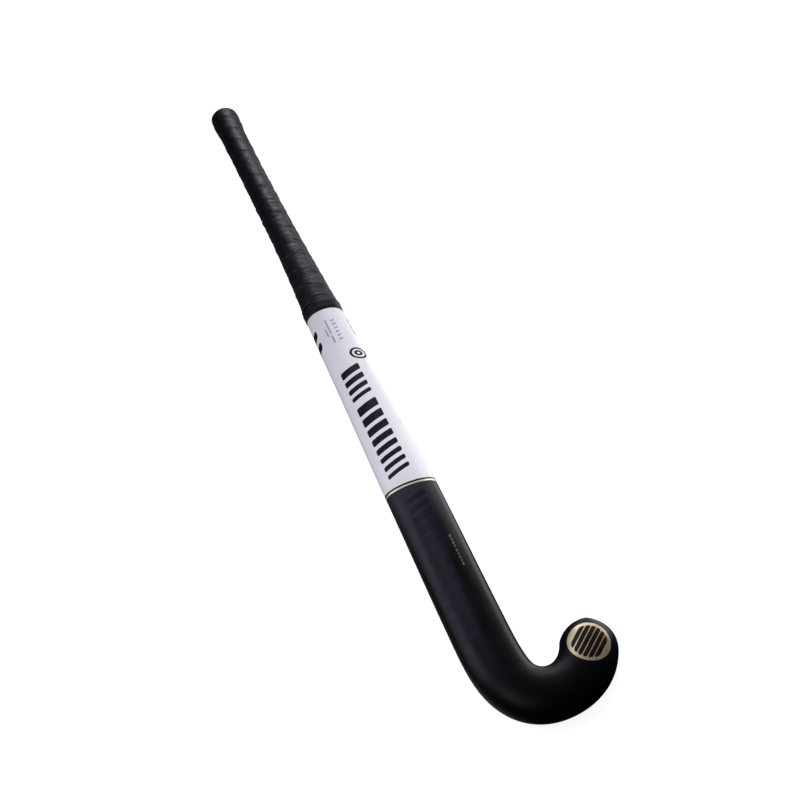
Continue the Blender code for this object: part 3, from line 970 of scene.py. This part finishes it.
# Name, azimuth, elevation, distance from the aim, size, aim, power and colour of each softbox
SOFTBOXES = (
    ("back_softbox", 168.0, 26.0, 1.8, (0.56, 0.5), (0, 0, 0), 4.398, (0.98, 0.966, 1.054)),
    ("back_high_softbox", 168.0, 42.0, 1.8, (0.56, 0.5), (0, 0, 0), 2.102, (0.97, 0.91, 1.12)),
    ("back_right_softbox", 150.0, 26.0, 1.8, (0.56, 0.5), (0, 0, 0), 1.680, (0.98, 0.99, 1.03)),
    ("back_near_softbox", 150.0, 5.0, 0.7, (0.4, 0.25), (0, -0.12, 0), 0.229, (1.03, 1.01, 0.97)),
    ("right_softbox", 90.0, 8.0, 0.5, (0.34, 0.2), (-0.04, -0.11, 0), 1.18, (1.01, 0.97, 1.01)),
    ("right_low_softbox", 125.0, -8.0, 0.6, (0.4, 0.2), (-0.04, -0.15, 0), 0.696, (0.99, 0.98, 1.04)),
    ("right_high_softbox", 116.0, 30.0, 0.35, (0.2, 0.12), (-0.04, -0.21, 0.02), 0.216, (1.02, 1.02, 0.95)),
    ("left_softbox", 250.0, 28.0, 0.9, (0.4, 0.3), (-0.04, -0.3, 0), 0.867, (1, 0.99, 1.01)),
    ("left_high_softbox", 240.0, 50.0, 0.9, (0.4, 0.4), (-0.04, -0.3, 0), 2.267, (0.93, 0.93, 1.12)),
    ("heel_softbox", 280.0, 68.0, 0.45, (0.2, 0.2), (-0.01, -0.44, 0.02), 0.2, (1, 0.98, 1.03)),
    ("top_softbox", 185.0, 78.0, 0.3, (0.12, 0.16), (-0.04, -0.25, 0.02), 0.158, (0.9, 0.98, 1.12)),
)


def make_lights():
    for softbox_row in SOFTBOXES:
        softbox(*softbox_row)


def math_node(tree, operation, value, *constants):
    """The result of an arithmetic operation on a value and constants."""
    node = tree.nodes.new("ShaderNodeMath")
    node.operation = operation
    tree.links.new(value, node.inputs[0])
    for socket, constant in zip(node.inputs[1:], constants):
        socket.default_value = constant
    return node.outputs[0]


def make_world():
    """Soft glow of the studio's walls; the camera itself sees plain white behind the stick."""
    world = bpy.data.worlds.new("studio")
    bpy.context.scene.world = world
    world.use_nodes = True
    tree = world.node_tree
    towards = tree.nodes.new("ShaderNodeTexCoord").outputs["Generated"]
    glow = None
    for azimuth, elevation, strength, colour in LOBES:
        dot = tree.nodes.new("ShaderNodeVectorMath")
        dot.operation = "DOT_PRODUCT"
        dot.inputs[1].default_value = direction(azimuth, elevation)
        tree.links.new(towards, dot.inputs[0])
        falloff = math_node(tree, "MULTIPLY_ADD", dot.outputs["Value"], LOBE_TIGHTNESS, -LOBE_TIGHTNESS)
        share = tree.nodes.new("ShaderNodeVectorMath")
        share.operation = "SCALE"
        share.inputs[0].default_value = [strength * channel for channel in colour]
        tree.links.new(math_node(tree, "EXPONENT", falloff), share.inputs["Scale"])
        if glow is not None:
            total = tree.nodes.new("ShaderNodeVectorMath")
            tree.links.new(glow, total.inputs[0])
            tree.links.new(share.outputs[0], total.inputs[1])
            share = total
        glow = share.outputs[0]
    background = tree.nodes["Background"]
    tree.links.new(glow, background.inputs["Color"])
    plain = tree.nodes.new("ShaderNodeBackground")
    seen = tree.nodes.new("ShaderNodeLightPath").outputs["Is Camera Ray"]
    mix = tree.nodes.new("ShaderNodeMixShader")
    tree.links.new(seen, mix.inputs[0])
    tree.links.new(background.outputs[0], mix.inputs[1])
    tree.links.new(plain.outputs[0], mix.inputs[2])
    plain.inputs["Color"].default_value = (1.0, 1.0, 1.0, 1.0)
    tree.links.new(mix.outputs[0], tree.nodes["World Output"].inputs["Surface"])


def make_camera():
    """Camera over the head end, looking up the stick from its heel side, tilted by its roll."""
    azimuth, elevation, roll = -20.21, 49.38, math.radians(-2.16)
    distance, aim = 0.9627, Vector((-0.0016, -0.0994, 0.0))
    back = direction(azimuth, elevation)
    right = Vector((0.0, 0.0, 1.0)).cross(back).normalized()
    up = back.cross(right)
    turned_right = right * math.cos(roll) + up * math.sin(roll)
    turned_up = up * math.cos(roll) - right * math.sin(roll)
    camera = bpy.data.cameras.new("camera")
    camera.sensor_width = 36.0
    camera.lens = 42.09
    camera.clip_start = 0.01
    obj = bpy.data.objects.new("camera", camera)
    bpy.context.scene.collection.objects.link(obj)
    basis = Matrix((turned_right, turned_up, back)).transposed().to_4x4()
    obj.matrix_world = Matrix.Translation(aim + back * distance) @ basis
    bpy.context.scene.camera = obj


def main():
    bpy.context.scene.view_settings.view_transform = "Standard"
    black = ink("black_ink", (0.008, 0.008, 0.012), roughness=0.34, gloss=0.22)
    grey = ink("grey_ink", (0.47, 0.47, 0.57), roughness=0.32, gloss=0.5)
    navy = ink("navy_gloss_ink", (0.0092, 0.0099, 0.0205), roughness=0.36, gloss=0.1)
    dark = ink("dark_brown_ink", (0.014, 0.009, 0.0045), roughness=0.34, gloss=0.12)
    gold = gold_foil("pale_gold_foil", (0.72, 0.655, 0.465))
    body = make_laminate(lacquered_laminate())
    make_film(white_lacquer(), gold, dark)
    make_grip_tape(grip_polyurethane())
    make_binding(binding_tape())
    make_butt_cap(moulded_rubber())
    make_shaft_prints(black, grey, navy, gold_foil("dull_gold_foil", (0.163, 0.134, 0.08)))
    # The disc's gold is a darker, browner copy of the ring's gold: browner for the disc's own foil, darker
    # as painted shade that tones down the highlight on the toe
    make_toe_disc(body, gold_foil("disc_gold_foil", (0.622, 0.512, 0.307)), dark)
    finish_inner_nodes()
    make_floor()
    make_lights()
    make_world()
    make_camera()


main()
